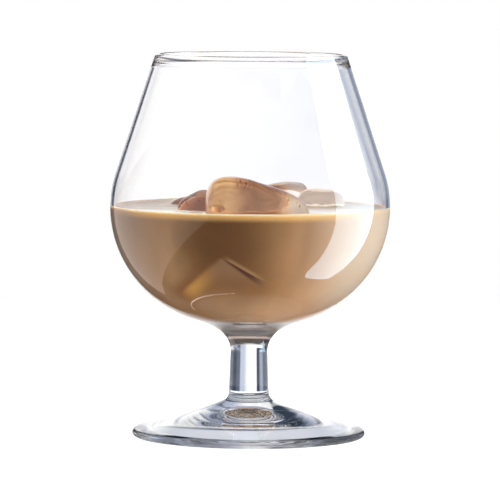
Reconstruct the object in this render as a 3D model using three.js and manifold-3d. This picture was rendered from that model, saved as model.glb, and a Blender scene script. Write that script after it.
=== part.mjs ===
// A stemmed cognac glass: a thin blown bowl, a drawn stem and a pressed foot, fused end to end,
// holding a cream liqueur with melting ice cubes.
// Millimetres, +Z up, origin on the table at the middle of the foot.

import * as THREE from 'three';
import { mergeVertices } from 'three/addons/utils/BufferGeometryUtils.js';
import Module from 'manifold-3d';

const wasm = await Module();
wasm.setup();

// Foot
const FOOT_RADIUS = 33.25;          // axis to the outer edge
const FOOT_EDGE = 2.2;              // thickness of the rounded edge
const FOOT_HEIGHT = 12.55;          // table to the seam with the stem
const FOOT_FILLET = 2.6;            // flare from the stem into the foot
const FOOT_SWEEP_RADIUS = 20.3;     // where the top of the foot turns from steep to shallow
const FOOT_SWEEP_HEIGHT = 4.6;      // height of that turn
const FOOT_HOLLOW_RADIUS = 28.5;    // shallow hollow under the foot, inside its resting ring
const FOOT_HOLLOW_DEPTH = 5.0;      // height of that hollow on the axis

// Stem
const STEM_LENGTH = 11.9;           // seam to seam
const STEM_LOW_RADIUS = 5.7;        // at the foot
const STEM_TOP_RADIUS = 5.3;        // at the bowl

// Bowl
const NECK_LENGTH = 7.7;            // solid glass from the stem's seam to the lowest point of the bowl
const NECK_SPREAD = 15.7;           // radius at which the neck has run out into the bowl
const BOWL_ARC = 33.5;              // radius of the round underside
const BELLY_RADIUS = 40.0;          // widest point
const SHOULDER_ARC = 31.0;          // radius of the turn from the belly into the cone
const RIM_RISE = 43.4;              // belly to the top of the rim
const RIM_RADIUS = 27.5;            // outside of the rim
const RIM_BEAD = 0.4;               // extra thickness of the fire-polished lip
const WALL = 1.1;                   // wall at the belly and up the cone
const FLOOR = 1.8;                  // glass under the drink

// Liqueur and ice
const DRINK_DEPTH = 32.0;           // bowl floor to the liquid surface
const DRINK_GAP = 0.3;              // between the liqueur and the glass
const ICE_GAP = 0.3;                // between the liqueur and the ice
const ICE_POWER = 3.2;              // 2 is an ellipsoid, higher is squarer
const ICE_DRAFT = 6;                // degrees by which a cube's sides lean, as it left its tray

// Cubes: size, the height of the top above the surface, and turns about X, Y and Z in degrees.
// A cube with a bearing (degrees from +X) is pushed out from the axis until its gap to the glass is left;
// the left one lies beside the front cube and the right one beside the rear cube.
const ICE_FRONT = { size: [28, 19.5, 25], above: 9.8, turn: [-4, 15, 10], bearing: -87.1, wallGap: 4.0 };
const ICE_LEFT = { size: [13, 13, 13], above: 4.9, turn: [14, -22, 42], from: [-13.9, 14.6] };
const ICE_REAR_LEFT = { size: [13, 13, 13], above: 2.0, turn: [-6, -9, 12], bearing: 133.0, wallGap: 5.6 };
const ICE_REAR_MIDDLE = { size: [14, 13, 16], above: 5.6, turn: [6, -5, -14], bearing: 70.0, wallGap: 2.3 };
const ICE_REAR_RIGHT = { size: [13, 12, 13], above: 4.3, turn: [-4, 3, 9], from: [10.2, -12.6] };

// Fineness of the meshes
const AROUND = 48;                  // facets round a full turn
const CHORD = 0.08;                 // how far a facet may cut inside a curve of an outline
const SWEEP_STEPS = 7;              // facets along a free curve of an outline
const ICE_CELLS = 6;                // cells along each edge of a cube
const WELD = 1e-4;                  // points closer than this are one point
const HALVINGS = 30;                // steps of the search for a cube's place

const DEG = Math.PI / 180;

// Heights that follow from the sizes above
const footSeam = FOOT_HEIGHT;
const bowlSeam = footSeam + STEM_LENGTH;
const bellyHeight = bowlSeam + NECK_LENGTH + BOWL_ARC;
const rimTop = bellyHeight + RIM_RISE;
const floorArc = BOWL_ARC - FLOOR;
const surface = bellyHeight - floorArc + DRINK_DEPTH;

const glass = new THREE.MeshStandardMaterial({ color: 0xdfe7ea, roughness: 0.03, metalness: 0 });
const cream = new THREE.MeshStandardMaterial({ color: 0xa87848, roughness: 0.3, metalness: 0 });
const clearIce = new THREE.MeshStandardMaterial({ color: 0xe9dcc9, roughness: 0.12, metalness: 0 });

// Points of an arc about (cx, cz), both ends included
function arc(cx, cz, radius, from, to) {
  const turn = 2 * Math.acos(1 - CHORD / radius);
  const steps = Math.max(1, Math.ceil(Math.abs(to - from) / turn));
  const points = [];
  for (let i = 0; i <= steps; i++) {
    const a = from + (to - from) * i / steps;
    points.push(new THREE.Vector2(cx + radius * Math.cos(a), cz + radius * Math.sin(a)));
  }
  return points;
}

// Points of a curve that leaves a towards c and arrives at b from c
function sweep(a, c, b) {
  return new THREE.QuadraticBezierCurve(a, c, b).getPoints(SWEEP_STEPS);
}

// Where the line from a point touches a circle; side picks one of the two touching points
function tangentPoint(point, centre, radius, side) {
  const away = point.clone().sub(centre);
  const angle = away.angle() + side * Math.acos(radius / away.length());
  return new THREE.Vector2(Math.cos(angle), Math.sin(angle)).multiplyScalar(radius).add(centre);
}

function revolve(points) {
  const outline = points.filter((p, i) => i === 0 || p.distanceTo(points[i - 1]) > WELD);
  const geometry = new THREE.LatheGeometry(outline, AROUND);
  geometry.rotateX(Math.PI / 2);
  return geometry;
}

function solid(geometry) {
  const bare = geometry.clone();
  bare.deleteAttribute('normal');
  bare.deleteAttribute('uv');
  const welded = mergeVertices(bare, WELD);
  const index = welded.index.array;
  const triangles = [];
  for (let i = 0; i < index.length; i += 3) {
    const [a, b, c] = [index[i], index[i + 1], index[i + 2]];
    if (a !== b && b !== c && c !== a) triangles.push(a, b, c);
  }
  return new wasm.Manifold(new wasm.Mesh({
    numProp: 3,
    vertProperties: new Float32Array(welded.attributes.position.array),
    triVerts: new Uint32Array(triangles),
  }));
}

function geometryOf(body) {
  const mesh = body.getMesh();
  const geometry = new THREE.BufferGeometry();
  geometry.setAttribute('position', new THREE.BufferAttribute(new Float32Array(mesh.vertProperties), 3));
  geometry.setIndex(new THREE.BufferAttribute(new Uint32Array(mesh.triVerts), 1));
  geometry.computeVertexNormals();
  return geometry;
}

// Foot: resting ring, rounded edge, swept top and the flare up to the stem's seam
function footOutline() {
  const half = FOOT_EDGE / 2;
  const edge = new THREE.Vector2(FOOT_RADIUS - half, half);
  const flare = new THREE.Vector2(STEM_LOW_RADIUS + FOOT_FILLET, footSeam);
  const turn = new THREE.Vector2(FOOT_SWEEP_RADIUS, FOOT_SWEEP_HEIGHT);
  const low = tangentPoint(turn, edge, half, -1);
  const high = tangentPoint(turn, flare, FOOT_FILLET, -1);
  const lowAngle = Math.atan2(low.y - edge.y, low.x - edge.x);
  const highAngle = Math.atan2(high.y - flare.y, high.x - flare.x) + 2 * Math.PI;
  const cap = (FOOT_HOLLOW_RADIUS ** 2 + FOOT_HOLLOW_DEPTH ** 2) / (2 * FOOT_HOLLOW_DEPTH);
  const reach = Math.asin(FOOT_HOLLOW_RADIUS / cap);
  return [
    ...arc(0, FOOT_HOLLOW_DEPTH - cap, cap, Math.PI / 2, Math.PI / 2 - reach),
    ...arc(edge.x, edge.y, half, -Math.PI / 2, lowAngle),
    ...sweep(low, turn, high),
    ...arc(flare.x, flare.y, FOOT_FILLET, highAngle, Math.PI),
    new THREE.Vector2(0, footSeam),
  ];
}

function stemOutline() {
  return [
    new THREE.Vector2(0, footSeam),
    new THREE.Vector2(STEM_LOW_RADIUS, footSeam),
    new THREE.Vector2(STEM_TOP_RADIUS, bowlSeam),
    new THREE.Vector2(0, bowlSeam),
  ];
}

// The cone runs straight from the shoulder to the rim and touches both round parts
const beadRadius = (WALL + RIM_BEAD) / 2;
const shoulderCentre = new THREE.Vector2(BELLY_RADIUS - SHOULDER_ARC, bellyHeight);
const beadCentre = new THREE.Vector2(RIM_RADIUS - beadRadius, rimTop - beadRadius);
const toBead = beadCentre.clone().sub(shoulderCentre);
const coneAngle = toBead.angle() - Math.acos((SHOULDER_ARC - beadRadius) / toBead.length());

// Inside of the bowl from the floor's centre up to a height, drawn in by a gap
function insideOutline(gap, top) {
  const radius = floorArc - gap;
  const centre = BELLY_RADIUS - WALL - floorArc;
  const low = -Math.acos(Math.max(0, -centre) / radius);
  const level = Math.min(1, Math.max(-1, (top - bellyHeight) / radius));
  const points = [new THREE.Vector2(0, bellyHeight - radius)];
  points.push(...arc(centre, bellyHeight, radius, low, Math.min(0, Math.asin(level))));
  if (top > bellyHeight) {
    const bend = SHOULDER_ARC - WALL - gap;
    const end = Math.min(coneAngle, Math.asin(Math.min(1, (top - bellyHeight) / bend)));
    points.push(...arc(shoulderCentre.x, bellyHeight, bend, 0, end));
    const last = points[points.length - 1];
    if (top > last.y) {
      points.push(new THREE.Vector2(last.x - (top - last.y) * Math.tan(coneAngle), top));
    }
  }
  return points;
}

// Bowl: neck, round belly, cone and beaded rim outside, then back down the inside to the floor
function bowlOutline() {
  const centre = BELLY_RADIUS - BOWL_ARC;
  const lift = Math.asin((NECK_SPREAD - centre) / BOWL_ARC);
  const start = new THREE.Vector2(STEM_TOP_RADIUS, bowlSeam);
  const spread = new THREE.Vector2(NECK_SPREAD, bellyHeight - BOWL_ARC * Math.cos(lift));
  const turn = new THREE.Vector2(STEM_TOP_RADIUS, spread.y - (NECK_SPREAD - STEM_TOP_RADIUS) * Math.tan(lift));
  const inner = Math.acos((beadRadius - WALL) / beadRadius);
  const lipEnd = coneAngle + 2 * Math.PI - inner;
  const lipFoot = beadCentre.y + beadRadius * Math.sin(lipEnd);
  return [
    new THREE.Vector2(0, bowlSeam),
    ...sweep(start, turn, spread),
    ...arc(centre, bellyHeight, BOWL_ARC, lift - Math.PI / 2, 0),
    ...arc(shoulderCentre.x, bellyHeight, SHOULDER_ARC, 0, coneAngle),
    ...arc(beadCentre.x, beadCentre.y, beadRadius, coneAngle, lipEnd),
    ...insideOutline(0, lipFoot).reverse(),
  ];
}

// Radius of the bowl's inside at a height
function insideRadius(height) {
  const outline = insideOutline(0, rimTop);
  for (let i = 2; i < outline.length; i++) {
    const [a, b] = [outline[i - 1], outline[i]];
    if (height <= b.y) return a.x + (b.x - a.x) * (height - a.y) / Math.max(b.y - a.y, WELD);
  }
  return outline[outline.length - 1].x;
}

// A melted cube: a box whose corners and edges have rounded off, its top at a height above the liquid
function iceGeometry(cube, grow) {
  const geometry = new THREE.BoxGeometry(2, 2, 2, ICE_CELLS, ICE_CELLS, ICE_CELLS);
  const place = geometry.attributes.position;
  const p = new THREE.Vector3();
  for (let i = 0; i < place.count; i++) {
    p.fromBufferAttribute(place, i);
    const sum = Math.abs(p.x) ** ICE_POWER + Math.abs(p.y) ** ICE_POWER + Math.abs(p.z) ** ICE_POWER;
    p.multiplyScalar(sum ** (-1 / ICE_POWER));
    place.setXYZ(i, p.x, p.y, p.z);
  }
  const [wide, deep, high] = cube.size.map((length) => length / 2 + grow);
  const lean = high * Math.tan(ICE_DRAFT * DEG);
  for (let i = 0; i < place.count; i++) {
    p.fromBufferAttribute(place, i);
    place.setXYZ(i, p.x * (wide + lean * p.z), p.y * (deep + lean * p.z), p.z * high);
  }
  geometry.rotateX(cube.turn[0] * DEG);
  geometry.rotateY(cube.turn[1] * DEG);
  geometry.rotateZ(cube.turn[2] * DEG);
  geometry.computeBoundingBox();
  geometry.translate(0, 0, surface + cube.above + grow - geometry.boundingBox.max.z);
  return geometry;
}

// Place along its bearing at which a cube keeps its gap to the glass all over
function outToWall(cube) {
  const along = new THREE.Vector2(Math.cos(cube.bearing * DEG), Math.sin(cube.bearing * DEG));
  const place = iceGeometry(cube, 0).attributes.position;
  let [near, far] = [0, BELLY_RADIUS];
  for (let step = 0; step < HALVINGS; step++) {
    const distance = (near + far) / 2;
    let clear = true;
    for (let i = 0; i < place.count; i++) {
      const out = Math.hypot(place.getX(i) + distance * along.x, place.getY(i) + distance * along.y);
      if (out > insideRadius(Math.min(place.getZ(i), surface)) - cube.wallGap) clear = false;
    }
    if (clear) near = distance;
    else far = distance;
  }
  return along.multiplyScalar(near);
}

const frontAt = outToWall(ICE_FRONT);
const rearAt = outToWall(ICE_REAR_MIDDLE);
const cubes = [
  ['ice_front', ICE_FRONT, frontAt],
  ['ice_left', ICE_LEFT, new THREE.Vector2(...ICE_LEFT.from).add(frontAt)],
  ['ice_rear_left', ICE_REAR_LEFT, outToWall(ICE_REAR_LEFT)],
  ['ice_rear_middle', ICE_REAR_MIDDLE, rearAt],
  ['ice_rear_right', ICE_REAR_RIGHT, new THREE.Vector2(...ICE_REAR_RIGHT.from).add(rearAt)],
];

const group = new THREE.Group();
group.name = 'cognac_glass';

function add(name, geometry, material) {
  const mesh = new THREE.Mesh(geometry, material);
  mesh.name = name;
  group.add(mesh);
}

add('bowl', revolve(bowlOutline()), glass);
add('stem', revolve(stemOutline()), glass);
add('foot', revolve(footOutline()), glass);

// Liqueur: fills the bowl to its level, with a pocket for every cube
const fill = insideOutline(DRINK_GAP, surface);
fill.push(new THREE.Vector2(0, surface));
let liqueur = solid(revolve(fill));
for (const [, cube, at] of cubes) {
  liqueur = liqueur.subtract(solid(iceGeometry(cube, ICE_GAP).translate(at.x, at.y, 0)));
}
add('liqueur', geometryOf(liqueur), cream);

for (const [name, cube, at] of cubes) {
  add(name, iceGeometry(cube, 0).translate(at.x, at.y, 0), clearIce);
}

export default group;
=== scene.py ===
# A cognac glass of cream liqueur on ice: turned clear glass, a tan drink with its meniscus, and
# melting cubes with trapped bubbles. Sizes below are in millimetres; meshes are made in metres.

import math
import random

import bmesh
import bpy
from mathutils import Matrix, Vector, noise
from mathutils.bvhtree import BVHTree


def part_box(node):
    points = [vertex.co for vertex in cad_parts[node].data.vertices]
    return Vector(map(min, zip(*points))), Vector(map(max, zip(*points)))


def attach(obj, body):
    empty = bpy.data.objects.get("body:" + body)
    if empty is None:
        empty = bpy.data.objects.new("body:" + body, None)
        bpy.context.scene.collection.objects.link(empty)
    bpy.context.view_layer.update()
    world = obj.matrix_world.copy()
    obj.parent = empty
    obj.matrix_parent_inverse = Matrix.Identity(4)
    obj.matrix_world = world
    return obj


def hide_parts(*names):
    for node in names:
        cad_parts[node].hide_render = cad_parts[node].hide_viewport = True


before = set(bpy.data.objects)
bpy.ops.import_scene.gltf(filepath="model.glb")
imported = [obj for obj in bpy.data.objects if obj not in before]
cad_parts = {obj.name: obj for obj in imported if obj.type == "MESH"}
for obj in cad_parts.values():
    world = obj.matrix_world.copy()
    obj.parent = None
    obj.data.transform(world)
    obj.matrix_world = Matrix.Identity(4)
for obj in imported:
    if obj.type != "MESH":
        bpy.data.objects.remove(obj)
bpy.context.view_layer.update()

MM = 0.001

# Foot
FOOT_RADIUS = 33.25
FOOT_EDGE = 2.2
FOOT_HEIGHT = 12.55
FOOT_FILLET = 2.6
FOOT_SWEEP_RADIUS = 20.3
FOOT_SWEEP_HEIGHT = 4.6
FOOT_HOLLOW_RADIUS = 28.5
FOOT_HOLLOW_DEPTH = 5.0

# Stem
STEM_LENGTH = 11.9
STEM_LOW_RADIUS = 5.7
STEM_TOP_RADIUS = 5.3

# Bowl
NECK_LENGTH = 7.7
NECK_SPREAD = 15.7
BOWL_ARC = 33.5
BELLY_RADIUS = 40.0
SHOULDER_ARC = 31.0
RIM_RISE = 43.4
RIM_RADIUS = 27.5
RIM_BEAD = 0.4
WALL = 1.1
FLOOR = 1.8

# Drink
DRINK_DEPTH = 32.0          # bowl floor to the line where the liqueur wets the glass
MENISCUS_RISE = 1.3         # from the flat surface up to that line
MENISCUS_REACH = 1.5        # how fast the rise dies out from the glass
ICE_RISE = 0.8              # the same round a cube
ICE_REACH = 1.0
WETTING = 0.12              # how far the drink reaches into the glass, so no air shows between them
POCKET = 0.08               # how far it reaches into the ice
RING_FIRST = 0.16           # width of the surface's outermost ring of faces
RING_GROWTH = 1.1           # and how much wider each ring is than the one outside it
RING_LAST = 0.62            # up to this width
RING_MIDDLE = 0.4           # and the least radius of the innermost one
TOP_MARGIN = 0.05           # faces above the level less this
TOP_SLOPE = 0.25            # that face up by more than this belong to the surface
CREASE = math.radians(38)
WELD = 1e-6                 # metres

# Ice
ICE_POWER = 3.2
ICE_DRAFT = 6
ICE_CELLS = 22
ICE_WAVE = 0.22             # depth of the hollows that melting left
ICE_HOLLOWS = ((6.5, 1.0), (3.0, 0.5))  # how wide they are, and their share of that depth
ICE_LOSS = 0.6              # share of that depth that melted off all over
ICE_SEEDS = (3.1, 1.7, 0.9)  # which set the hollows of the cubes apart
FRONT_LEAN = 1.7            # how far the front cube's top has slumped to the left
FRONT_SAG = 1.3             # and how much lower its right shoulder has melted
ICE_SIZES = {
    "ice_front": ((28, 19.5, 25), (-4, 15, 10), 150),
    "ice_left": ((13, 13, 13), (14, -22, 42), 40),
    "ice_rear_left": ((13, 13, 13), (-6, -9, 12), 24),
    "ice_rear_middle": ((14, 13, 16), (6, -5, -14), 24),
    "ice_rear_right": ((13, 12, 13), (-4, 3, 9), 20),
}                           # size, turns about X, Y and Z in degrees, and number of bubbles
BUBBLE_SMALL = 0.07
BUBBLE_LARGE = 0.26
BUBBLE_REACH = 0.78         # how far out they lie, as a share of half the cube
BUBBLE_TOP = 0.85           # how high up, and how far down from there, in the same shares
BUBBLE_DEPTH = 1.5
BUBBLE_TALL = (1.0, 1.7)    # height to width
BUBBLE_CROWDING = 1.6       # over 1, they crowd at the top
BUBBLE_RARITY = 3           # over 1, large ones are rare

AROUND = 144                # facets round a full turn
FINE_TURN = math.radians(3)  # between points of an outline's arcs
HOLLOW_TURN = math.radians(0.8)
FOOT_EDGE_TURN = math.radians(8)
SHOULDER_TURN = math.radians(1)
BEAD_TURN = math.radians(12)
ON_AXIS = 1e-5
SAME_POINT = 1e-4

foot_seam = FOOT_HEIGHT
bowl_seam = foot_seam + STEM_LENGTH
belly = bowl_seam + NECK_LENGTH + BOWL_ARC
rim_top = belly + RIM_RISE
floor_arc = BOWL_ARC - FLOOR
wet_line = belly - floor_arc + DRINK_DEPTH
level = wet_line - MENISCUS_RISE

bead = (WALL + RIM_BEAD) / 2
shoulder_r = BELLY_RADIUS - SHOULDER_ARC
bead_r = RIM_RADIUS - bead
bead_z = rim_top - bead
cone = math.atan2(bead_z - belly, bead_r - shoulder_r)
cone -= math.acos((SHOULDER_ARC - bead) / math.hypot(bead_r - shoulder_r, bead_z - belly))


def arc(centre_r, centre_z, radius, start, end, turn=FINE_TURN):
    """Points of an arc in the (radius, height) plane."""
    steps = max(2, math.ceil(abs(end - start) / turn))
    angles = [start + (end - start) * i / steps for i in range(steps + 1)]
    return [(centre_r + radius * math.cos(a), centre_z + radius * math.sin(a)) for a in angles]


def sweep(a, c, b, steps=26):
    """A curve that leaves a towards c and arrives at b from c."""
    points = []
    for i in range(steps + 1):
        t = i / steps
        w = ((1 - t) ** 2, 2 * t * (1 - t), t * t)
        points.append(tuple(w[0] * a[k] + w[1] * c[k] + w[2] * b[k] for k in (0, 1)))
    return points


def straight(a, b, steps):
    """Points of a line."""
    return [tuple(a[k] + (b[k] - a[k]) * i / steps for k in (0, 1)) for i in range(steps + 1)]


def touch(point, centre, radius, side):
    """Angle on a circle at which the line from a point touches it."""
    away = (point[0] - centre[0], point[1] - centre[1])
    return math.atan2(away[1], away[0]) + side * math.acos(radius / math.hypot(*away))


def joined(*runs):
    """One outline without repeated points."""
    points = []
    for run in runs:
        for p in run:
            if not points or math.dist(p, points[-1]) > SAME_POINT:
                points.append(p)
    return points


def foot_outline():
    half = FOOT_EDGE / 2
    edge = (FOOT_RADIUS - half, half)
    flare = (STEM_LOW_RADIUS + FOOT_FILLET, foot_seam)
    turn = (FOOT_SWEEP_RADIUS, FOOT_SWEEP_HEIGHT)
    low = touch(turn, edge, half, -1)
    high = touch(turn, flare, FOOT_FILLET, -1)
    if high < 0:
        high += 2 * math.pi
    low_point = (edge[0] + half * math.cos(low), edge[1] + half * math.sin(low))
    high_point = (flare[0] + FOOT_FILLET * math.cos(high), flare[1] + FOOT_FILLET * math.sin(high))
    cap = (FOOT_HOLLOW_RADIUS ** 2 + FOOT_HOLLOW_DEPTH ** 2) / (2 * FOOT_HOLLOW_DEPTH)
    reach = math.asin(FOOT_HOLLOW_RADIUS / cap)
    hollow = arc(0, FOOT_HOLLOW_DEPTH - cap, cap, math.pi / 2, math.pi / 2 - reach, HOLLOW_TURN)
    return joined(
        [(0, FOOT_HOLLOW_DEPTH)], hollow[1:],
        arc(*edge, half, -math.pi / 2, low, FOOT_EDGE_TURN),
        sweep(low_point, turn, high_point, steps=40),
        arc(*flare, FOOT_FILLET, high, math.pi),
    )


def stem_outline():
    return straight((STEM_LOW_RADIUS, foot_seam), (STEM_TOP_RADIUS, bowl_seam), steps=10)


def inside_outline(grow, top):
    """Inside of the bowl from the middle of its floor up to a height, moved into the glass by grow."""
    radius = floor_arc + grow
    centre = BELLY_RADIUS - WALL - floor_arc
    points = [(0, belly - radius)]
    points += straight((0, belly - radius), (centre, belly - radius), steps=5)[1:]
    points += arc(centre, belly, radius, -math.pi / 2, 0)
    bend = SHOULDER_ARC - WALL + grow
    end = min(cone, math.asin(min(1, (top - belly) / bend)))
    points += arc(shoulder_r, belly, bend, 0, end, SHOULDER_TURN)
    last = points[-1]
    if top > last[1]:
        points += straight(last, (last[0] - (top - last[1]) * math.tan(cone), top), steps=12)
    return joined(points)


def bowl_outline():
    centre = BELLY_RADIUS - BOWL_ARC
    lift = math.asin((NECK_SPREAD - centre) / BOWL_ARC)
    spread = (NECK_SPREAD, belly - BOWL_ARC * math.cos(lift))
    turn = (STEM_TOP_RADIUS, spread[1] - (NECK_SPREAD - STEM_TOP_RADIUS) * math.tan(lift))
    inner = math.acos((bead - WALL) / bead)
    lip_end = cone + 2 * math.pi - inner
    lip_foot = bead_z + bead * math.sin(lip_end)
    top = (shoulder_r + SHOULDER_ARC * math.cos(cone), belly + SHOULDER_ARC * math.sin(cone))
    rim = (bead_r + bead * math.cos(cone), bead_z + bead * math.sin(cone))
    return joined(
        sweep((STEM_TOP_RADIUS, bowl_seam), turn, spread),
        arc(centre, belly, BOWL_ARC, lift - math.pi / 2, 0),
        arc(shoulder_r, belly, SHOULDER_ARC, 0, cone),
        straight(top, rim, steps=12),
        arc(bead_r, bead_z, bead, cone, lip_end, BEAD_TURN),
        reversed(inside_outline(0, lip_foot)),
    )


def outline_normals(points):
    """Outward normals along an outline that runs up the outside and down the inside."""
    sides = []
    for a, b in zip(points, points[1:]):
        length = math.dist(a, b)
        sides.append(((b[1] - a[1]) / length, (a[0] - b[0]) / length))
    normals = []
    for i in range(len(points)):
        near = sides[max(0, i - 1):i + 1]
        total = (sum(s[0] for s in near), sum(s[1] for s in near))
        length = math.hypot(*total)
        normals.append((total[0] / length, total[1] / length))
    return normals


def revolve(name, runs, materials):
    """A closed turned solid. A run is its points, their normals and the slot of its faces."""
    verts = []
    rings = {}
    faces = []
    slots = []
    corners = []
    angles = [2 * math.pi * j / AROUND for j in range(AROUND)]
    spin = [(math.cos(a), math.sin(a)) for a in angles]

    def ring(point):
        key = (round(point[0], 4), round(point[1], 4))
        if key not in rings:
            start = len(verts)
            if point[0] < ON_AXIS:
                verts.append((0, 0, point[1] * MM))
                rings[key] = [start] * AROUND
            else:
                verts.extend((point[0] * c * MM, point[0] * s * MM, point[1] * MM) for c, s in spin)
                rings[key] = [start + j for j in range(AROUND)]
        return rings[key]

    for points, normals, slot in runs:
        for i in range(len(points) - 1):
            low, high = ring(points[i]), ring(points[i + 1])
            for j in range(AROUND):
                k = (j + 1) % AROUND
                face = []
                for index, spoke, at in (
                    (low[j], j, i), (low[k], k, i), (high[k], k, i + 1), (high[j], j, i + 1),
                ):
                    if all(index != other[0] for other in face):
                        face.append((index, spoke, at))
                faces.append([f[0] for f in face])
                slots.append(slot)
                for index, spoke, at in face:
                    nr, nz = normals[at]
                    if points[at][0] < ON_AXIS:
                        nr, nz = 0, math.copysign(1, nz)
                    corners.append((nr * spin[spoke][0], nr * spin[spoke][1], nz))
    mesh = bpy.data.meshes.new(name)
    mesh.from_pydata(verts, [], faces)
    for material in materials:
        mesh.materials.append(material)
    mesh.polygons.foreach_set("material_index", slots)
    mesh.polygons.foreach_set("use_smooth", [True] * len(faces))
    mesh.normals_split_custom_set(corners)
    mesh.update()
    piece = bpy.data.objects.new(name, mesh)
    bpy.context.scene.collection.objects.link(piece)
    return piece


def disc(radius, height, outward):
    """The run that closes a turned solid at a seam."""
    ends = [(0, height), (radius, height)]
    if outward > 0:
        ends.reverse()
    return ends, [(0, outward), (0, outward)]


def new_material(name):
    material = bpy.data.materials.new(name)
    material.use_nodes = True
    material.node_tree.nodes.clear()
    return material, material.node_tree


def add(tree, kind, inputs=None, **settings):
    """A node with its settings. Inputs are values or outputs of other nodes, by name or number."""
    node = tree.nodes.new(kind)
    for key, value in settings.items():
        setattr(node, key, value)
    for key, value in (inputs or {}).items():
        if isinstance(value, bpy.types.NodeSocket):
            tree.links.new(value, node.inputs[key])
        else:
            node.inputs[key].default_value = value
    return node


def calc(tree, operation, first, second):
    return add(tree, "ShaderNodeMath", {0: first, 1: second}, operation=operation).outputs[0]


def product(tree, *values):
    total = values[0]
    for value in values[1:]:
        total = calc(tree, "MULTIPLY", total, value)
    return total


def ranged(tree, value, low, high, first=0.0, last=1.0, curve="LINEAR"):
    """A number that goes from first to last while a value goes from low to high."""
    ends = {"Value": value, "From Min": low, "From Max": high, "To Min": first, "To Max": last}
    return add(tree, "ShaderNodeMapRange", ends, interpolation_type=curve).outputs["Result"]


def mixed(tree, first, second, share):
    """A colour with a share of a second one. Each is an output of a node or three numbers."""
    first, second = [(*c, 1) if isinstance(c, tuple) else c for c in (first, second)]
    ends = {"Factor": share, "A": first, "B": second}
    return add(tree, "ShaderNodeMix", ends, data_type="RGBA").outputs["Result"]


def ramp(tree, share, stops):
    """Colours that follow each other at positions from 0 to 1."""
    node = add(tree, "ShaderNodeValToRGB", {"Fac": share})
    elements = node.color_ramp.elements
    elements.remove(elements[1])
    for index, (position, colour) in enumerate(stops):
        element = elements[0] if index == 0 else elements.new(position)
        element.position = position
        element.color = (*colour, 1)
    return node.outputs["Color"]


def shader_mix(tree, share, first, second):
    return add(tree, "ShaderNodeMixShader", {0: share, 1: first, 2: second}).outputs[0]


NOISE_DETAIL = 2.0
BAND_NOISE = 150.0
BAND_DRIFT = 6.5            # millimetres by which the bands of a tint wander
SMEAR = (0.35, 0.75)        # the part of the noise over which roughness rises
SMOOTHEST = 0.4             # from this share of it


def clear_material(name, ior, tint, passing, roughness, wave_scale, wave_depth, clearness=1.0, bands=()):
    """Clear glass or ice with a slightly wavy skin. Lamps and scattered light pass straight through it,
    tinted by passing. Clearness is the share of light that goes through, and the rest scatters. Bands are
    tints at places along X, which drift into each other and take the place of the tint. Wave depth is in
    metres."""
    material, tree = new_material(name)
    place = add(tree, "ShaderNodeTexCoord").outputs["Object"]

    def noisy(scale):
        settings = {"Vector": place, "Scale": scale, "Detail": NOISE_DETAIL}
        return add(tree, "ShaderNodeTexNoise", settings).outputs

    height = noisy(wave_scale)["Fac"]
    bump = add(tree, "ShaderNodeBump", {"Height": height, "Strength": 1.0, "Distance": wave_depth})
    body = add(tree, "ShaderNodeBsdfPrincipled", {
        "Base Color": (*tint, 1),
        "IOR": ior,
        "Transmission Weight": clearness,
        "Roughness": ranged(tree, height, *SMEAR, roughness * SMOOTHEST, roughness),
        "Normal": bump.outputs["Normal"],
    })
    if bands:
        pushes = {0: noisy(BAND_NOISE)["Color"], 1: (BAND_DRIFT * MM,) * 3, 2: place}
        pushed = add(tree, "ShaderNodeVectorMath", pushes, operation="MULTIPLY_ADD").outputs[0]
        across = add(tree, "ShaderNodeSeparateXYZ", {0: pushed}).outputs["X"]
        first, last = bands[0][0], bands[-1][0]
        shift = BAND_DRIFT / 2
        share = ranged(tree, across, (first + shift) * MM, (last + shift) * MM)
        tints = ramp(tree, share, [((at - first) / (last - first), colour) for at, colour in bands])
        tree.links.new(tints, body.inputs["Base Color"])
    straight_on = add(tree, "ShaderNodeBsdfTransparent", {"Color": (*passing, 1)}).outputs[0]
    path = add(tree, "ShaderNodeLightPath").outputs
    either = calc(tree, "MAXIMUM", path["Is Shadow Ray"], path["Is Diffuse Ray"])
    surface = shader_mix(tree, either, body.outputs[0], straight_on)
    add(tree, "ShaderNodeOutputMaterial", {"Surface": surface})
    return material


def seam_material():
    """The fused joints inside the glass, where there is no surface to see."""
    material, tree = new_material("fused_seam")
    nothing = add(tree, "ShaderNodeBsdfTransparent", {"Color": (1, 1, 1, 1)}).outputs[0]
    add(tree, "ShaderNodeOutputMaterial", {"Surface": nothing})
    return material


# Colours of the drink
LIQUEUR_DARK = (0.33, 0.172, 0.076)
LIQUEUR_PALE = (0.48, 0.275, 0.135)
# Painted light: the drink paler towards the right
LIQUEUR_LIT_RIGHT = (0.43, 0.35, 0.27)
# Painted shade where ice lies close behind the drink
LIQUEUR_ICE_SHADE = (0.155, 0.064, 0.021)
LIQUEUR_UNDER_ICE = (0.33, 0.18, 0.095)
# Painted shade, rust brown, along the left edge of the cube in front
LIQUEUR_RUSTY_SHADE = (0.25, 0.098, 0.042)
# Painted glow along that edge
LIQUEUR_GLOW = (0.62, 0.33, 0.095)
# Painted dark line along the right edge of that cube
LIQUEUR_SHADE_LINE = (0.12, 0.055, 0.038)
# Painted glow at the wet line: gold, then cream
LIQUEUR_GOLD_GLOW = (0.76, 0.51, 0.20)
LIQUEUR_CREAM_GLOW = (0.76, 0.55, 0.35)
# Painted grey shade at the bottom, over the stem
LIQUEUR_BOTTOM_SHADE = (0.09, 0.086, 0.088)
# Pale foam on top, which also stands for a painted sheen in front
LIQUEUR_FOAM_AND_SHEEN = (0.97, 0.92, 0.87)
# A duller tan on top towards the back
LIQUEUR_TOP_BACK = (0.37, 0.275, 0.205)
# The duller colour of that painted glow at the back
LIQUEUR_EDGE = (0.40, 0.30, 0.23)
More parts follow.
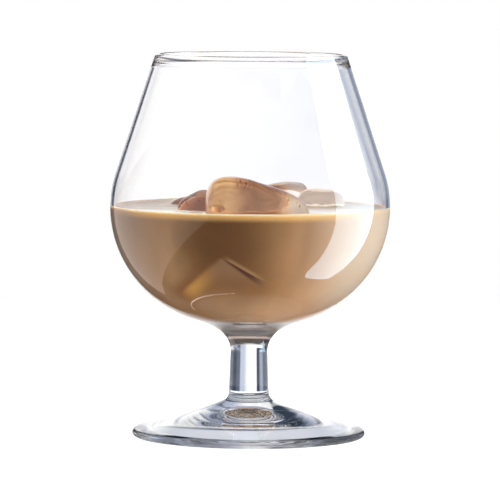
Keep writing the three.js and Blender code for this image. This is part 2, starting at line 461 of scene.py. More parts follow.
# Painted light: the drink in the ice's pockets, paler so that the ice glows copper, and near white to the
# right
LIQUEUR_POCKET = (0.60, 0.36, 0.21)
LIQUEUR_POCKET_PALE = (1.0, 0.92, 0.86)
# A paler ring in that painted shade
LIQUEUR_BOTTOM_RING = (0.29, 0.24, 0.205)
LIQUEUR_MISTY = (0.33, 0.25, 0.20)
LIQUEUR_IOR = 1.37
LIQUEUR_SCATTER = (1.0, 0.7, 0.45)
LIQUEUR_SCATTER_REACH = 0.0028  # metres
STREAKS = (55, 55, 26)
STREAK_TONES = (0.30, 0.72)
# Streaks of the foam and painted sheen on top
FOAM_AND_SHEEN_STREAKS = (26, 110, 40)
FOAM_AND_SHEEN_TONES = (0.30, 0.52)
# The edges of a cube under the surface, where they show through the drink in front: ends as (x, z)
EDGE_TOP = (-7.95, 54.0)
EDGE_RIGHT = (4.9, 46.6)
EDGE_UNDER = (4.0, 45.3)
EDGE_LEFT = (-17.6, 44.3)


def liqueur_material(name, specular, roughness, by_glass):
    """Cream liqueur: light scatters in it, and streaks of melt water and cream vary its colour. By the
    glass it also pales to gold where it thins out at the wet line, a painted glow, painted shade darkens
    it where the ice lies behind it, and painted grey shade lies over the stem. On top it carries foam in
    front, which also stands for a painted sheen, and is duller at the back."""
    material, tree = new_material(name)
    place = add(tree, "ShaderNodeTexCoord").outputs["Object"]

    def spread(value, low, high, first=0.0, last=1.0):
        return ranged(tree, value, low, high, first, last, "SMOOTHSTEP")

    def fall(value, low, high, first=1.0):
        return spread(value, low, high, first, 0.0)

    def where(*shares):
        return product(tree, *shares)

    def streaky(scale, detail, distortion=0.0):
        """Noise that is drawn out along the axes."""
        drawn = add(tree, "ShaderNodeMapping", {"Vector": place, "Scale": scale}).outputs[0]
        settings = {"Vector": drawn, "Scale": 1.0, "Detail": detail, "Distortion": distortion}
        return add(tree, "ShaderNodeTexNoise", settings).outputs["Fac"]

    def along(direction):
        """Millimetres along a direction from the origin."""
        scaled = [part / MM for part in direction]
        node = add(tree, "ShaderNodeVectorMath", {0: place, 1: scaled}, operation="DOT_PRODUCT")
        return node.outputs["Value"]

    def beside(a, b):
        """Millimetres above the line from a to b, and along it from a."""
        length = math.dist(a, b)
        run = ((b[0] - a[0]) / length, (b[1] - a[1]) / length)
        up = (-run[1], run[0]) if run[0] > 0 else (run[1], -run[0])
        over = calc(tree, "ADD", along((up[0], 0, up[1])), -a[0] * up[0] - a[1] * up[1])
        down = calc(tree, "ADD", along((run[0], 0, run[1])), -a[0] * run[0] - a[1] * run[1])
        return over, down

    # Layers of colour, each over the ones before it: the colour and where it shows, in millimetres
    deep = along((0, 1, 0))
    if by_glass:
        off_ice = add(tree, "ShaderNodeAttribute", attribute_name="ice_gap").outputs["Fac"]
        rise = along((0, 0, 1))
        across = along((1, 0, 0))
        flat = add(tree, "ShaderNodeVectorMath", {0: place, 1: (1 / MM, 1 / MM, 0)}, operation="MULTIPLY")
        axis = add(tree, "ShaderNodeVectorMath", {0: flat.outputs[0]}, operation="LENGTH").outputs["Value"]

        # Painted light to the right, greyer at the far left, painted shade before the ice, paler in its
        # pockets
        pocket = fall(off_ice, 0.1, 0.6)
        layers = [
            (LIQUEUR_LIT_RIGHT, spread(across, 8, 34, 0.0, 0.95)),
            (LIQUEUR_MISTY, fall(across, -36, -22, 0.7)),
            # painted shade before the ice, fading out to the right
            (LIQUEUR_ICE_SHADE, where(fall(off_ice, 2.0, 11.5, 0.92), fall(across, -2, 17))),
            # painted light: paler in the pockets, palest to the right, where the ice shows it
            (LIQUEUR_POCKET, pocket),
            (LIQUEUR_POCKET_PALE, where(pocket, spread(across, 4, 11))),
        ]

        # The cube under the surface in front: the drink below its edges, painted shade in rust brown and a
        # painted glow along the left edge, and a painted shine over a painted dark line along the right one
        front = fall(deep, -24, -18)
        over_left, down_left = beside(EDGE_TOP, EDGE_LEFT)
        over_right, down_right = beside(EDGE_TOP, EDGE_RIGHT)
        over_under, _ = beside(EDGE_TOP, EDGE_UNDER)
        right_edge = where(front, spread(down_right, -0.3, 3.5), fall(down_right, 9.0, 15.5))
        layers += [
            (LIQUEUR_UNDER_ICE, where(
                front, fall(over_left, -1.0, 0.6), fall(over_right, -0.5, 0.1), spread(rise, 44.0, 51.0))),
            (LIQUEUR_RUSTY_SHADE, where(
                front, spread(over_left, -7.0, -1.0), fall(over_left, 0.0, 5.0),
                spread(down_left, 4.0, 12.0, 0.0, 0.75), fall(down_left, 14.0, 21.0))),
            (LIQUEUR_GLOW, where(
                front, spread(over_left, -5.2, -1.0), fall(over_left, -0.8, 1.0),
                spread(down_left, 1.5, 12.0), fall(down_left, 12.0, 16.5))),
            # painted shine in the pale tone, over the dark line
            (LIQUEUR_PALE, where(
                spread(over_right, -0.1, 0.15), fall(over_right, 0.2, 1.4, 0.75), right_edge)),
            (LIQUEUR_SHADE_LINE, where(
                spread(over_under, -0.7, 0.3), fall(over_right, -0.25, 0.15), right_edge)),
        ]

        # A painted glow, gold in front and then cream, where it thins out at the wet line, and duller at the
        # back
        at_glass = spread(axis, 36.0, 37.8)
        cream = where(at_glass, spread(rise, wet_line - 0.9, wet_line - 0.3))
        layers += [
            (LIQUEUR_GOLD_GLOW, where(
                at_glass, spread(rise, wet_line - 2.6, wet_line - 0.9, 0.0, 0.9),
                spread(deep, -32, -12, 1.0, 0.1), spread(across, 8, 30, 1.0, 0.3))),
            (LIQUEUR_CREAM_GLOW, cream),
            (LIQUEUR_EDGE, where(cream, spread(deep, -32, -12, 0.0, 0.95))),
        ]

        # Painted grey shade at the bottom, with a paler ring in it that is open at the back
        bottom = belly - floor_arc
        low = fall(rise, bottom + 0.15, bottom + 1.7, 0.95)
        layers += [
            (LIQUEUR_BOTTOM_SHADE, low),
            (LIQUEUR_BOTTOM_RING, where(
                low, spread(axis, 3, 6, 0.1, 1.0), fall(axis, 11, 14), spread(deep, 3, 7, 1.0, 0.1))),
        ]
    else:
        # Foam in front, which also stands for a painted sheen, over a duller tan towards the back
        foam_and_sheen = spread(streaky(FOAM_AND_SHEEN_STREAKS, detail=4.0), *FOAM_AND_SHEEN_TONES)
        layers = [
            (LIQUEUR_TOP_BACK, spread(deep, -22, 8, 0.0, 0.95)),
            (LIQUEUR_FOAM_AND_SHEEN, where(foam_and_sheen, spread(deep, -14, 14, 1.0, 0.1))),
        ]
    streaks = streaky(STREAKS, detail=3.0, distortion=0.6)
    colour = ramp(tree, streaks, zip(STREAK_TONES, (LIQUEUR_DARK, LIQUEUR_PALE)))
    for tint, share in layers:
        colour = mixed(tree, colour, tint, share)
    body = add(tree, "ShaderNodeBsdfPrincipled", {
        "Base Color": colour,
        "IOR": LIQUEUR_IOR,
        "Specular IOR Level": specular,
        "Roughness": roughness,
        "Subsurface Weight": 1.0,
        "Subsurface Radius": LIQUEUR_SCATTER,
        "Subsurface Scale": LIQUEUR_SCATTER_REACH,
    })
    add(tree, "ShaderNodeOutputMaterial", {"Surface": body.outputs[0]})
    return material


GLASS_TINT = (0.985, 0.99, 0.995)
GLASS_PASSING = (0.93, 0.945, 0.955)
COPPER = (0.475, 0.232, 0.116)
# A darker copper that stands for painted shade in the ice
COPPER_SHADE = (0.41, 0.203, 0.098)
COPPER_PALE = (0.83, 0.515, 0.315)
# A gold that stands for a painted glow in the ice
GOLDEN_GLOW = (1.0, 0.66, 0.315)
CLEAR = (1.0, 0.90, 0.85)
# Tints along X, laid out for the cube in front: a painted golden glow left of its middle, painted darker
# copper shade right of it, and paler towards its right end
ICE_BANDS = (
    (-24, COPPER), (-12, COPPER), (-10, GOLDEN_GLOW), (-6, GOLDEN_GLOW), (-2, COPPER), (1.5, COPPER_SHADE),
    (7, COPPER_SHADE), (9.5, COPPER_PALE), (12, CLEAR), (28, CLEAR),
)
ICE_PASSING = (0.94, 0.85, 0.76)
GLASS = clear_material(
    "clear_glass", ior=1.5, tint=GLASS_TINT, passing=GLASS_PASSING, roughness=0.0,
    wave_scale=70.0, wave_depth=0.000012,
)
ICE = clear_material(
    "melting_ice", ior=1.31, tint=COPPER, passing=ICE_PASSING, roughness=0.04,
    wave_scale=220.0, wave_depth=0.0002, clearness=0.92, bands=ICE_BANDS,
)
SEAM = seam_material()
LIQUEUR = liqueur_material("cream_liqueur", specular=0.0, roughness=0.5, by_glass=True)
LIQUEUR_TOP = liqueur_material("cream_liqueur_surface", specular=0.3, roughness=0.3, by_glass=False)

# Glass: one outline, so that the fused pieces share their normals at the seams
foot_run = foot_outline()
stem_run = stem_outline()
bowl_run = bowl_outline()
whole = joined(foot_run, stem_run, bowl_run)
whole_normals = outline_normals(whole)


def normals_of(run):
    """The part of the whole outline's normals that belongs to a run."""
    start = min(range(len(whole)), key=lambda i: math.dist(whole[i], run[0]))
    return whole_normals[start:start + len(run)]


foot = revolve("glass_foot", [
    (foot_run, normals_of(foot_run), 0),
    (*disc(STEM_LOW_RADIUS, foot_seam, 1), 1),
], [GLASS, SEAM])
stem = revolve("glass_stem", [
    (*disc(STEM_LOW_RADIUS, foot_seam, -1), 1),
    (stem_run, normals_of(stem_run), 0),
    (*disc(STEM_TOP_RADIUS, bowl_seam, 1), 1),
], [GLASS, SEAM])
bowl = revolve("glass_bowl", [
    (*disc(STEM_TOP_RADIUS, bowl_seam, -1), 1),
    (bowl_run, normals_of(bowl_run), 0),
], [GLASS, SEAM])


def ice_mesh(name, grow, bubbles):
    """A melted cube where its solid lies, with trapped air as small cavities."""
    size, turn, count = ICE_SIZES[name]
    work = bmesh.new()
    bmesh.ops.create_cube(work, size=2)
    bmesh.ops.subdivide_edges(work, edges=work.edges[:], cuts=ICE_CELLS - 1, use_grid_fill=True)
    half = [length / 2 for length in size]
    lean = half[2] * math.tan(math.radians(ICE_DRAFT))
    turned = Matrix.Rotation(math.radians(turn[2]), 3, "Z")
    turned = turned @ Matrix.Rotation(math.radians(turn[1]), 3, "Y")
    turned = turned @ Matrix.Rotation(math.radians(turn[0]), 3, "X")

    def shaped(p):
        return turned @ Vector((
            p.x * (half[0] + lean * p.z), p.y * (half[1] + lean * p.z), p.z * half[2]))

    for v in work.verts:
        total = sum(abs(c) ** ICE_POWER for c in v.co)
        v.co = shaped(v.co * total ** (-1 / ICE_POWER))
    low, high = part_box(name)
    middle = [(min(v.co[k] for v in work.verts) + max(v.co[k] for v in work.verts)) / 2 for k in (0, 1)]
    top = max(v.co.z for v in work.verts)
    shift = Vector((
        (low.x + high.x) / 2 / MM - middle[0],
        (low.y + high.y) / 2 / MM - middle[1],
        high.z / MM - top))
    work.normal_update()
    seed = Vector((size[0] * ICE_SEEDS[0], turn[1] * ICE_SEEDS[1], turn[2] * ICE_SEEDS[2]))
    for v in work.verts:
        wave = sum(share * noise.noise(v.co / width + seed) for width, share in ICE_HOLLOWS)
        v.co += v.normal * (ICE_WAVE * wave - ICE_LOSS * ICE_WAVE + grow)
    if name == "ice_front":
        for v in work.verts:
            risen = min(1, max(0, (v.co.z + shift.z - level) / (top + shift.z - level)))
            v.co.z -= FRONT_SAG * risen * min(1, max(0, v.co.x / half[0]))
            v.co.x -= FRONT_LEAN * risen
    if bubbles:
        chance = random.Random(int(size[0] * 1000 + turn[2] * 10))
        for _ in range(count):
            p = Vector((chance.uniform(-BUBBLE_REACH, BUBBLE_REACH) for _ in range(3)))
            p.z = BUBBLE_TOP - BUBBLE_DEPTH * chance.random() ** BUBBLE_CROWDING
            radius = BUBBLE_SMALL + (BUBBLE_LARGE - BUBBLE_SMALL) * chance.random() ** BUBBLE_RARITY
            made = bmesh.ops.create_icosphere(work, subdivisions=1, radius=radius)["verts"]
            skin = {f for v in made for f in v.link_faces}
            bmesh.ops.reverse_faces(work, faces=list(skin))
            tall = chance.uniform(*BUBBLE_TALL)
            for v in made:
                v.co.z *= tall
                v.co += shaped(p)
    for v in work.verts:
        v.co = (v.co + shift) * MM
    for f in work.faces:
        f.smooth = True
    mesh = bpy.data.meshes.new(name + "_melted" if bubbles else name + "_pocket")
    work.to_mesh(mesh)
    work.free()
    return mesh


cubes = {}
for name in ICE_SIZES:
    mesh = ice_mesh(name, 0.0, True)
    mesh.materials.append(ICE)
    cubes[name] = bpy.data.objects.new(name + "_melted", mesh)
    bpy.context.scene.collection.objects.link(cubes[name])

# The cubes' pockets in the drink, as one cutting mesh
cut = bmesh.new()
for name in ICE_SIZES:
    pocket = ice_mesh(name, -POCKET, False)
    cut.from_mesh(pocket)
    bpy.data.meshes.remove(pocket)
near_ice = BVHTree.FromBMesh(cut)
cut_mesh = bpy.data.meshes.new("ice_pockets")
cut.to_mesh(cut_mesh)
cut.free()
cutter = bpy.data.objects.new("ice_pockets", cut_mesh)
bpy.context.scene.collection.objects.link(cutter)


def drink_mesh():
    """The drink up to its wet line, with the surface curving up at the glass and at the ice."""
    side = inside_outline(WETTING, wet_line)
    rim = side[-1][0]
    inward = [0.0]
    step = RING_FIRST
    while inward[-1] + step < rim - RING_MIDDLE:
        inward.append(inward[-1] + step)
        step = min(RING_LAST, step * RING_GROWTH)
    verts = [(0, 0, side[0][1] * MM)]
    rings = [[0] * AROUND]

    def add_ring(radius, heights):
        start = len(verts)
        for j in range(AROUND):
            a = 2 * math.pi * j / AROUND
            x, y = radius * math.cos(a), radius * math.sin(a)
            verts.append((x * MM, y * MM, heights(x, y) * MM))
        rings.append([start + j for j in range(AROUND)])

    def height(x, y):
        gap = rim - math.hypot(x, y)
        rise = MENISCUS_RISE * math.exp(-gap / MENISCUS_REACH)
        away = near_ice.find_nearest(Vector((x, y, level)) * MM)[3] / MM
        return level + max(rise, ICE_RISE * math.exp(-away / ICE_REACH))

    for radius, z in side[1:]:
        add_ring(radius, lambda x, y: z)
    for gap in inward[1:]:
        add_ring(rim - gap, height)
    verts.append((0, 0, height(0, 0) * MM))
    rings.append([len(verts) - 1] * AROUND)
    faces = []
    for a, b in zip(rings, rings[1:]):
        for j in range(AROUND):
            k = (j + 1) % AROUND
            face = []
            for index in (a[j], a[k], b[k], b[j]):
                if index not in face:
                    face.append(index)
            faces.append(face)
    mesh = bpy.data.meshes.new("liqueur_fill")
    mesh.from_pydata(verts, [], faces)
    return mesh


drink = bpy.data.objects.new("liqueur_fill", drink_mesh())
bpy.context.scene.collection.objects.link(drink)
cutting = drink.modifiers.new("pockets", "BOOLEAN")
cutting.operation = "DIFFERENCE"
cutting.solver = "EXACT"
cutting.object = cutter
bpy.context.view_layer.update()
finished = bpy.data.meshes.new_from_object(drink.evaluated_get(bpy.context.evaluated_depsgraph_get()))
drink.modifiers.clear()
drink.data = finished
bpy.data.objects.remove(cutter)
finished.materials.clear()
finished.materials.append(LIQUEUR)
finished.materials.append(LIQUEUR_TOP)
work = bmesh.new()
work.from_mesh(finished)
bmesh.ops.remove_doubles(work, verts=work.verts[:], dist=WELD)
work.normal_update()
for f in work.faces:
    f.smooth = True
    on_top = f.calc_center_median().z > (level - TOP_MARGIN) * MM and f.normal.z > TOP_SLOPE
    f.material_index = 1 if on_top else 0
for e in work.edges:
    if len(e.link_faces) == 2:
        e.smooth = e.calc_face_angle(0) < CREASE
work.to_mesh(finished)
work.free()
ice_gap = finished.attributes.new("ice_gap", "FLOAT", "POINT")
for vertex in finished.vertices:
    ice_gap.data[vertex.index].value = near_ice.find_nearest(vertex.co)[3] / MM

for piece, node, body, slot in (
    (bowl, "bowl", "glass", "clear_glass"),
    (stem, "stem", "glass", "clear_glass"),
    (foot, "foot", "glass", "clear_glass"),
    (drink, "liqueur", "drink", "cream_liqueur"),
):
    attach(piece, body)
    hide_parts(node)
for name, piece in cubes.items():
    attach(piece, "drink")
    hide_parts(name)

# Floor: a pale round table top that keeps the shadow and shows white to the camera and through the glass
FLOOR_RADIUS = 0.45         # metres, and so are FLOOR_SEEN and FLOOR_LIT
FLOOR_FACETS = 96
FLOOR_DROP = 0.2            # below the foot, so that the two do not touch
FLOOR_PAINT = (0.8, 0.8, 0.8)
FLOOR_SEEN = (0.055, 0.09)  # seen through the glass, it melts into the surroundings between these radii
FLOOR_GLOW = 0.45           # near the glass
FLOOR_LIT = (0.12, 0.40)    # further out than this, it is as white as the backdrop
# Painted light and shadow under the foot, which only light through the glass sees: a pale colour, and a dark
# one behind and to the left
UNDER_FOOT = ((0.80, 0.83, 0.90), (0.08, 0.11, 0.16))
UNDER_FOOT_TO = (44, 52)    # seen through the glass, it has these two colours up to here
UNDER_FOOT_BACK = (-2, 13)  # the other one takes over behind here
UNDER_FOOT_SIDE = (4, 13)   # and left of here
FOOT_SHADE = 0.3            # this share of them shows round the edge of the foot, as a painted darker ring
FOOT_RING = ((29, 1.0), (31, FOOT_SHADE), (36.5, FOOT_SHADE), (46, 1.0))
FOOT_AGAIN = 0.4            # and this share where the glass mirrors the foot


def floor_material():
    """Paint with a glow, painted light and shadow under the foot, and nothing further out. Only the camera
    and light through the glass see the glow, and only light through the glass sees the painted light and
    shadow."""
    material, tree = new_material("pale_floor")
    path = add(tree, "ShaderNodeLightPath").outputs
    through = path["Is Transmission Ray"]
    place = add(tree, "ShaderNodeTexCoord").outputs["Object"]
    reach = add(tree, "ShaderNodeVectorMath", {0: place}, operation="LENGTH").outputs["Value"]

    seen = calc(tree, "MAXIMUM", path["Is Camera Ray"], through)
    bright = product(tree, seen, ranged(tree, reach, *FLOOR_LIT, FLOOR_GLOW, 1.0))
    glow = add(tree, "ShaderNodeEmission", {"Strength": bright}).outputs[0]
    paint = add(tree, "ShaderNodeBsdfDiffuse", {"Color": (*FLOOR_PAINT, 1)}).outputs[0]
    painted = add(tree, "ShaderNodeAddShader", {0: paint, 1: glow}).outputs[0]

    sides = add(tree, "ShaderNodeSeparateXYZ", {0: place}).outputs
    back = ranged(tree, sides["Y"], UNDER_FOOT_BACK[0] * MM, UNDER_FOOT_BACK[1] * MM)
    left = ranged(tree, sides["X"], UNDER_FOOT_SIDE[1] * MM, UNDER_FOOT_SIDE[0] * MM)
    ring = add(tree, "ShaderNodeFloatCurve", {"Value": calc(tree, "DIVIDE", reach, FLOOR_SEEN[0])})
    curve = ring.mapping.curves[0]
    curve.points[0].location = (0.0, 1.0)
    curve.points[1].location = (1.0, 1.0)
    for radius, strength in FOOT_RING:
        curve.points.new(radius * MM / FLOOR_SEEN[0], strength)
    ring.mapping.update()
    again = ranged(tree, path["Glossy Depth"], 0.0, 1.0, 1.0, FOOT_AGAIN)
    dim = add(tree, "ShaderNodeEmission", {
        "Color": mixed(tree, *UNDER_FOOT, product(tree, back, left)),
        "Strength": product(tree, ring.outputs["Value"], again),
    }).outputs[0]
    shade = ranged(tree, reach, UNDER_FOOT_TO[0] * MM, UNDER_FOOT_TO[1] * MM, 1.0, 0.0, "SMOOTHSTEP")
    surface = shader_mix(tree, product(tree, shade, through), painted, dim)

    beyond = product(tree, ranged(tree, reach, *FLOOR_SEEN, curve="SMOOTHSTEP"), through)
    gone = add(tree, "ShaderNodeBsdfTransparent").outputs[0]
    surface = shader_mix(tree, beyond, surface, gone)
    add(tree, "ShaderNodeOutputMaterial", {"Surface": surface})
    return material


ground_mesh = bpy.data.meshes.new("floor")
ground = bmesh.new()
bmesh.ops.create_circle(ground, cap_ends=True, segments=FLOOR_FACETS, radius=FLOOR_RADIUS)
ground.to_mesh(ground_mesh)
ground.free()
ground_mesh.materials.append(floor_material())
floor = bpy.data.objects.new("floor", ground_mesh)
bpy.context.scene.collection.objects.link(floor)
floor.location.z = -FLOOR_DROP * MM
floor.visible_glossy = False
floor.visible_shadow = False

# Lamps: a wide soft box on the left, an upright one on the right and one overhead. They only shade. What
# the bowl, the drink and the ice mirror are glowing cards, which the stem and the foot do not mirror.
AREA_LAMP = 4               # watts for one unit of radiance over a square metre
OVERHEAD_SIZE = 0.5         # metres each way
OVERHEAD_AT = 0.6           # metres above the table
OVERHEAD_RADIANCE = 2.4
LEFT_CARD = ((1.5, 1.9), (1.5, -0.26), (-1.5, -1.42), (-1.5, 1.9))
RIGHT_CARD = (
    (-0.51, 1.2), (-0.55, -1.45), (-0.45, -1.6), (-0.33, -1.53), (0.10, -1.08), (0.15, -0.85), (0.33, 0.0),
    (0.45, 1.2),
)
LIT_EDGE_STEPS = 32

upper_part = bpy.data.collections.new("upper_part")
for piece in (bowl, drink, *cubes.values()):
    upper_part.objects.link(piece)


def facing(azimuth):
    """Directions away from the axis and across, at degrees to the right of the camera's side."""
    a = math.radians(azimuth)
    return Vector((math.sin(a), -math.cos(a), 0)), Vector((math.cos(a), math.sin(a), 0))


def area_lamp(name, width, height, radiance):
    """An area lamp that neither the camera nor the glass shows."""
    lamp = bpy.data.lights.new(name, "AREA")
    lamp.shape = "RECTANGLE"
    lamp.size = width
    lamp.size_y = height
    lamp.energy = radiance * width * height * AREA_LAMP
    stand = bpy.data.objects.new(name, lamp)
    bpy.context.scene.collection.objects.link(stand)
    stand.visible_camera = False
    stand.visible_transmission = False
    stand.visible_glossy = False
    return stand


def soft_box(name, azimuth, distance, across, upright, radiance):
    """An upright area lamp facing the axis. Across and upright are its edges as shares of the distance,
    from the point level with the belly."""
    width, height = [(edges[1] - edges[0]) * distance for edges in (across, upright)]
    stand = area_lamp(name, width, height, radiance)
    away, along = facing(azimuth)
    middle = Vector((0, 0, belly * MM)) + away * distance
    middle += along * distance * (across[0] + across[1]) / 2
    middle.z += distance * (upright[0] + upright[1]) / 2
    stand.matrix_world = Matrix.Translation(middle) @ Matrix((along, (0, 0, 1), away)).transposed().to_4x4()
    stand.data.cycles.use_multiple_importance_sampling = False


def glint(name, places, faces, colour, radiance):
    """A glowing sheet that only shows in reflections."""
    mesh = bpy.data.meshes.new(name)
    mesh.from_pydata(places, [], faces)
    material, tree = new_material(name)
    glow = add(tree, "ShaderNodeEmission", {"Color": (*colour, 1), "Strength": radiance}).outputs[0]
    add(tree, "ShaderNodeOutputMaterial", {"Surface": glow})
    mesh.materials.append(material)
    stand = bpy.data.objects.new(name, mesh)
    bpy.context.scene.collection.objects.link(stand)
    stand.visible_camera = False
    stand.visible_diffuse = False
    stand.visible_transmission = False
    stand.visible_shadow = False
    stand.light_linking.receiver_collection = upper_part


def card(name, azimuth, distance, corners, colour, radiance):
    """An upright glowing card facing the axis. Corners are shares of the distance, across and up from the
    point level with the belly."""
    away, along = facing(azimuth)
    middle = Vector((0, 0, belly * MM)) + away * distance
    places = [middle + along * distance * u + Vector((0, 0, distance * v)) for u, v in corners]
    glint(name, places, [list(range(len(places)))], colour, radiance)


def foot_edge_glint(name, start, end, width, colour, radiance):
    """A painted reflection: a glowing strip over the edge of the foot between two azimuths, thinning out
    to both ends, which stands in for the lit edge as the underside of the bowl mirrors it."""
    places = []
    for step in range(LIT_EDGE_STEPS + 1):
        share = step / LIT_EDGE_STEPS
        away, _ = facing(start + (end - start) * share)
        up = Vector((0, 0, FOOT_EDGE * MM))
        places.append(up + away * FOOT_RADIUS * MM)
        places.append(up + away * (FOOT_RADIUS - width * math.sin(math.pi * share)) * MM)
    faces = [(2 * step, 2 * step + 1, 2 * step + 3, 2 * step + 2) for step in range(LIT_EDGE_STEPS)]
    glint(name, places, faces, colour, radiance)


soft_box("left_box", azimuth=-90, distance=0.4, across=(-1.5, 1.5), upright=(-0.8, 1.6), radiance=0.44)
soft_box("right_box", azimuth=84, distance=0.5, across=(-0.45, 0.45), upright=(-1.0, 1.2), radiance=4.2)
card("left_card", azimuth=-90, distance=0.4, corners=LEFT_CARD, colour=(1.0, 0.86, 0.80), radiance=1.0)
card("right_card", azimuth=100, distance=0.5, corners=RIGHT_CARD, colour=(0.74, 0.95, 1.1), radiance=6.6)
foot_edge_glint("foot_edge_glint", start=-126, end=-14, width=0.6, colour=(1.0, 0.88, 0.76), radiance=9.0)
overhead = area_lamp("overhead_box", OVERHEAD_SIZE, OVERHEAD_SIZE, OVERHEAD_RADIANCE)
overhead.location.z = OVERHEAD_AT

# World: a white backdrop behind the glass with dim surroundings beside it, which draw the edges of the
# glass, and a plain glow for shading. Panels are colours round the horizon, at degrees to the right of
# straight behind the glass. Each set takes over between two angles above the horizon.
WORLD_AMBIENT = 0.15
WHITE = (1.15, 1.15, 1.15)
PEARL = (1.07, 1.09, 1.14)
MIST = (0.77, 0.80, 0.95)
HAZE = (0.59, 0.64, 0.79)
GREY = (0.38, 0.425, 0.54)
DUSK = (0.31, 0.35, 0.50)
SLATE = (0.115, 0.14, 0.20)
INK = (0.036, 0.05, 0.078)
BEHIND = (
    (-22, INK), (-17, INK), (-16, WHITE), (0.6, WHITE), (1.6, PEARL), (3, PEARL), (10, HAZE), (18, HAZE),
    (20, SLATE),
)
# Below the horizon
LOW_FROM = (-13, -9)
LOW_PANELS = (
    (-172, WHITE), (-142, WHITE), (-124, GREY), (-102, WHITE), (-76, WHITE), (-64, SLATE), (-38, SLATE),
    (-32, GREY), (-26, GREY), *BEHIND, (27, SLATE), (32, INK), (42, INK), (48, SLATE), (74, SLATE),
    (84, WHITE), (138, WHITE),
)
# At the horizon, through the stem and the foot
HIGH_FROM = (-2.5, -0.5)
HIGH_PANELS = (
    (-160, WHITE), (-110, WHITE), (-95, HAZE), (-72, HAZE), (-66, GREY), (-59, INK), (-30, INK), *BEHIND,
    (22, GREY), (28, GREY), (32, SLATE), (38, SLATE), (43, HAZE), (50, HAZE), (60, WHITE), (160, WHITE),
)
# At the horizon, through the wall of the bowl
WALL_FROM = (-3.2, -2.2)
WALL_PANELS = (
    (-160, WHITE), (-110, WHITE), (-95, HAZE), (-72, HAZE), (-66, GREY), (-59, INK), (-36, INK),
    (-31, MIST), (-24, MIST), (-22.5, GREY), (-18.5, GREY), (-17, WHITE), (0.6, WHITE), (1.6, PEARL),
    (5.2, PEARL), (6.8, DUSK), (7.9, DUSK), (8.8, PEARL), (16.5, MIST), (17.2, INK), (22, INK), (24, MIST),
    (29, MIST), (33, HAZE), (50, HAZE), (60, WHITE), (160, WHITE),
)
# Above it
UPPER_FROM = (5, 8)
UPPER_PANELS = (
    (-160, WHITE), (-110, WHITE), (-95, HAZE), (-76, HAZE), (-68, GREY), (-60, INK), (-39, INK), (-34, HAZE),
    (-28, WHITE), (3, WHITE), (10, HAZE), (18, HAZE), (20, SLATE), (25, SLATE), (30, GREY), (38, GREY),
    (42, SLATE), (46, HAZE), (50, HAZE), (60, WHITE), (160, WHITE),
)
TOP_FROM = (20, 32)
TOP_PANELS = ((-80, GREY), (-64, INK), (-32, INK), (-26, GREY), (35, GREY), (42, HAZE), (60, GREY))
# What surfaces mirror, and where it ends
MIRROR_FROM = (-36, -20)
MIRROR_PANELS = ((-13.5, INK), (-11.5, WHITE), (11, WHITE), (12.5, INK))
MIRROR_END = (14, 24)
# Light passes two faces of the stem or the foot, and four of the bowl. Light that has passed more has
# come through ice, which is lit all round.
STEM_PASSES = 2
BOWL_PASSES = 4
PAST_ICE = (1.22, 1.22, 1.24)

world = bpy.data.worlds.new("studio")
bpy.context.scene.world = world
world.use_nodes = True
sky = world.node_tree
sky.nodes.clear()
toward = add(sky, "ShaderNodeTexCoord").outputs["Generated"]
split = add(sky, "ShaderNodeSeparateXYZ", {0: toward}).outputs
bearing = ranged(sky, calc(sky, "ARCTAN2", split["X"], split["Y"]), -math.pi, math.pi)


def horizon(panels):
    """Colours that follow each other round the horizon."""
    return ramp(sky, bearing, [((degrees + 180) / 360, colour) for degrees, colour in panels])


def stacked(low, high, start, end):
    """One colour below a height and another above it, blended between two angles in degrees."""
    heights = [math.sin(math.radians(angle)) for angle in (start, end)]
    return mixed(sky, low, high, ranged(sky, split["Z"], *heights))


def background(colour):
    return add(sky, "ShaderNodeBackground", {"Color": colour}).outputs[0]


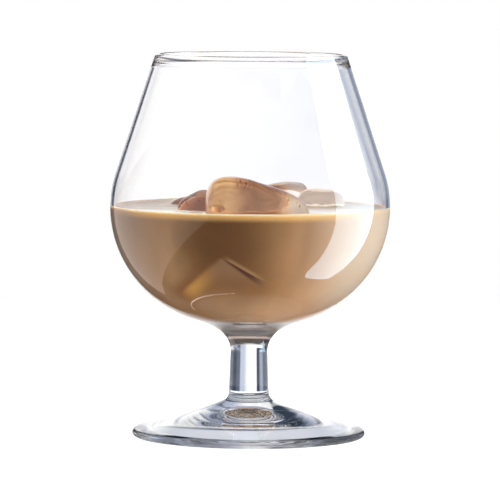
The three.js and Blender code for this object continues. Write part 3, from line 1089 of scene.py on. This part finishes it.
path = add(sky, "ShaderNodeLightPath").outputs
past_stem = ranged(sky, path["Transmission Depth"], STEM_PASSES, STEM_PASSES + 1)
past_bowl = ranged(sky, path["Transmission Depth"], BOWL_PASSES, BOWL_PASSES + 1)
lowest = stacked(WHITE, horizon(LOW_PANELS), *LOW_FROM)
by_stem = stacked(lowest, horizon(HIGH_PANELS), *HIGH_FROM)
by_wall = stacked(lowest, horizon(WALL_PANELS), *WALL_FROM)
seen = mixed(sky, by_stem, by_wall, past_stem)
seen = stacked(seen, horizon(UPPER_PANELS), *UPPER_FROM)
seen = stacked(seen, horizon(TOP_PANELS), *TOP_FROM)
seen = mixed(sky, seen, PAST_ICE, past_bowl)
mirrored = stacked(INK, horizon(MIRROR_PANELS), *MIRROR_FROM)
mirrored = stacked(mirrored, INK, *MIRROR_END)
plain = add(sky, "ShaderNodeBackground", {"Strength": WORLD_AMBIENT})
shader = plain.outputs[0]
for ray, panel in (
    ("Is Glossy Ray", background(mirrored)),
    ("Is Transmission Ray", background(seen)),
    ("Is Camera Ray", background((1, 1, 1, 1))),
):
    shader = shader_mix(sky, path[ray], shader, panel)
add(sky, "ShaderNodeOutputWorld", {"Surface": shader})

# Camera: a long lens a little above the rim, tilted so that the glass leans as in the photograph
CAMERA_AT = Vector((0.06, -1246, 146)) * MM
CAMERA_AIM = Vector((0.06, 0, 53.2)) * MM
CAMERA_ROLL = 0.42
CAMERA_SENSOR = 36
CAMERA_LENS = 315.6
CAMERA_NEAR = 0.01          # metres
camera = bpy.data.cameras.new("camera")
camera.sensor_width = CAMERA_SENSOR
camera.lens = CAMERA_LENS
camera.clip_start = CAMERA_NEAR
eye = bpy.data.objects.new("camera", camera)
bpy.context.scene.collection.objects.link(eye)
look = (CAMERA_AIM - CAMERA_AT).to_track_quat("-Z", "Y").to_matrix()
look = look @ Matrix.Rotation(math.radians(CAMERA_ROLL), 3, "Z")
eye.matrix_world = Matrix.Translation(CAMERA_AT) @ look.to_4x4()
bpy.context.scene.camera = eye

scene = bpy.context.scene
scene.view_settings.view_transform = "Standard"
scene.cycles.max_bounces = 32
scene.cycles.transmission_bounces = 32
scene.cycles.glossy_bounces = 16
scene.cycles.transparent_max_bounces = 48
scene.cycles.caustics_reflective = False
scene.cycles.caustics_refractive = False
scene.cycles.use_denoising = True
